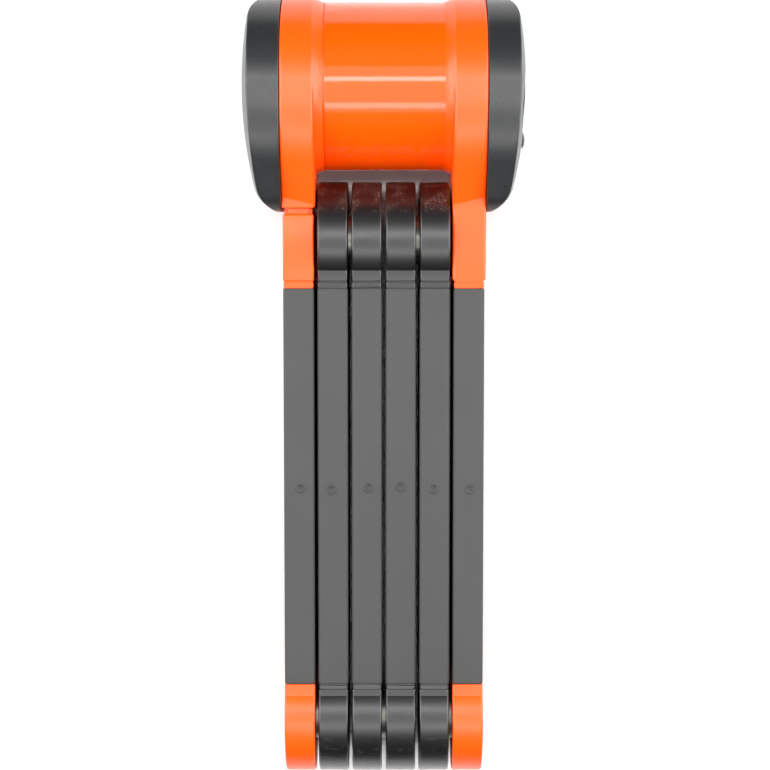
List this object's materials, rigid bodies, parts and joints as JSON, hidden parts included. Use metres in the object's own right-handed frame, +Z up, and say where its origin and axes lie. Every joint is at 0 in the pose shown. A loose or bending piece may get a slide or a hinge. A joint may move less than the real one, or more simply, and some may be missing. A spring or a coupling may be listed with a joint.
{
  "type": "folding bicycle lock",
  "caption": "Folding bicycle lock: riveted steel links in moulded sleeves, folded flat beside a round lock barrel with domed ends and a plug-in socket",
  "frame": {"origin": "centre of the bounding box in X and Y, on the floor under the lock lying on its back", "axes": "+X across the stack of folded links towards the keyway end, +Y along the links towards the lock barrel, +Z up from the flat back"},
  "size_m": [0.0789, 0.219, 0.0406],
  "materials": {
    "orange_shell": "satin moulded polyamide, bright orange",
    "cap_plastic": "fine-grained moulded polyamide, near black",
    "black_cover": "gloss moulded plastic, black",
    "grey_sleeve": "soft matt moulded sleeve, dark grey",
    "hardened_steel": "hardened steel, stamped and tumbled",
    "rivet_steel": "zinc-plated steel, bright",
    "cylinder_brass": "machined brass"
  },
  "bodies": {
    "lock_body": {"barrel_housing": "orange_shell", "cylinder_body": "cylinder_brass", "cylinder_retaining_pin": "hardened_steel", "dust_cover_pivot": "rivet_steel", "left_end_cap": "cap_plastic", "link_6_anchor_pin": "hardened_steel", "link_6_bar": "hardened_steel", "link_6_lower_cover": "orange_shell", "link_6_sleeve": "grey_sleeve", "lock_core": "hardened_steel", "right_end_cap": "cap_plastic", "rivet_5_6": "rivet_steel", "socket_block": "hardened_steel", "socket_collar": "orange_shell", "washer_5_6": "rivet_steel"},
    "link_5": {"link_5_bar": "hardened_steel", "link_5_lower_cover": "black_cover", "link_5_sleeve": "grey_sleeve", "link_5_upper_cover": "black_cover", "rivet_4_5": "rivet_steel", "washer_4_5": "rivet_steel"},
    "link_4": {"link_4_bar": "hardened_steel", "link_4_lower_cover": "black_cover", "link_4_sleeve": "grey_sleeve", "link_4_upper_cover": "black_cover", "rivet_3_4": "rivet_steel", "washer_3_4": "rivet_steel"},
    "link_3": {"link_3_bar": "hardened_steel", "link_3_lower_cover": "black_cover", "link_3_sleeve": "grey_sleeve", "link_3_upper_cover": "black_cover", "rivet_2_3": "rivet_steel", "washer_2_3": "rivet_steel"},
    "link_2": {"link_2_bar": "hardened_steel", "link_2_lower_cover": "black_cover", "link_2_sleeve": "grey_sleeve", "link_2_upper_cover": "black_cover", "rivet_1_2": "rivet_steel", "washer_1_2": "rivet_steel"},
    "link_1": {"link_1_bar": "hardened_steel", "link_1_lower_cover": "orange_shell", "link_1_sleeve": "grey_sleeve", "link_1_upper_cover": "orange_shell"},
    "key_cylinder": {"drive_bar": "hardened_steel", "key_rotor": "cylinder_brass", "locking_disc_1": "cylinder_brass", "locking_disc_2": "cylinder_brass", "locking_disc_3": "cylinder_brass", "locking_disc_4": "cylinder_brass", "locking_disc_5": "cylinder_brass", "locking_disc_6": "cylinder_brass", "locking_shaft": "hardened_steel", "rotor_tail": "hardened_steel", "sidebar": "hardened_steel"},
    "dust_cover": {"dust_cover": "cap_plastic"}
  },
  "joints": [
    {"name": "link_5_hinge", "type": "hinge", "parent": "lock_body", "child": "link_5", "pos_m": [0.0188, -0.0935, 0.016], "axis": [1, 0, 0], "range_deg": [0, 120]},
    {"name": "link_4_hinge", "type": "hinge", "parent": "link_5", "child": "link_4", "pos_m": [0.0094, 0.0425, 0.016], "axis": [1, 0, 0], "range_deg": [-180, 0]},
    {"name": "link_3_hinge", "type": "hinge", "parent": "link_4", "child": "link_3", "pos_m": [0, -0.0935, 0.016], "axis": [1, 0, 0], "range_deg": [-60, 0]},
    {"name": "link_2_hinge", "type": "hinge", "parent": "link_3", "child": "link_2", "pos_m": [-0.0094, 0.0425, 0.016], "axis": [1, 0, 0], "range_deg": [0, 180]},
    {"name": "link_1_hinge", "type": "hinge", "parent": "link_2", "child": "link_1", "pos_m": [-0.0188, -0.0935, 0.016], "axis": [1, 0, 0], "range_deg": [-60, 0]},
    {"name": "key_turn", "type": "hinge", "parent": "lock_body", "child": "key_cylinder", "pos_m": [0, 0.0849, 0.016], "axis": [1, 0, 0], "range_deg": [0, 90]},
    {"name": "dust_cover_swing", "type": "hinge", "parent": "lock_body", "child": "dust_cover", "pos_m": [0.0375, 0.07015, 0.016], "axis": [1, 0, 0], "range_deg": [0, 55]}
  ],
  "couplings": [
    {"joint": "link_4_hinge", "follows": "link_5_hinge", "ratio": -1.5},
    {"joint": "link_3_hinge", "follows": "link_5_hinge", "ratio": -0.5},
    {"joint": "link_2_hinge", "follows": "link_5_hinge", "ratio": 1.5},
    {"joint": "link_1_hinge", "follows": "link_5_hinge", "ratio": -0.5}
  ]
}
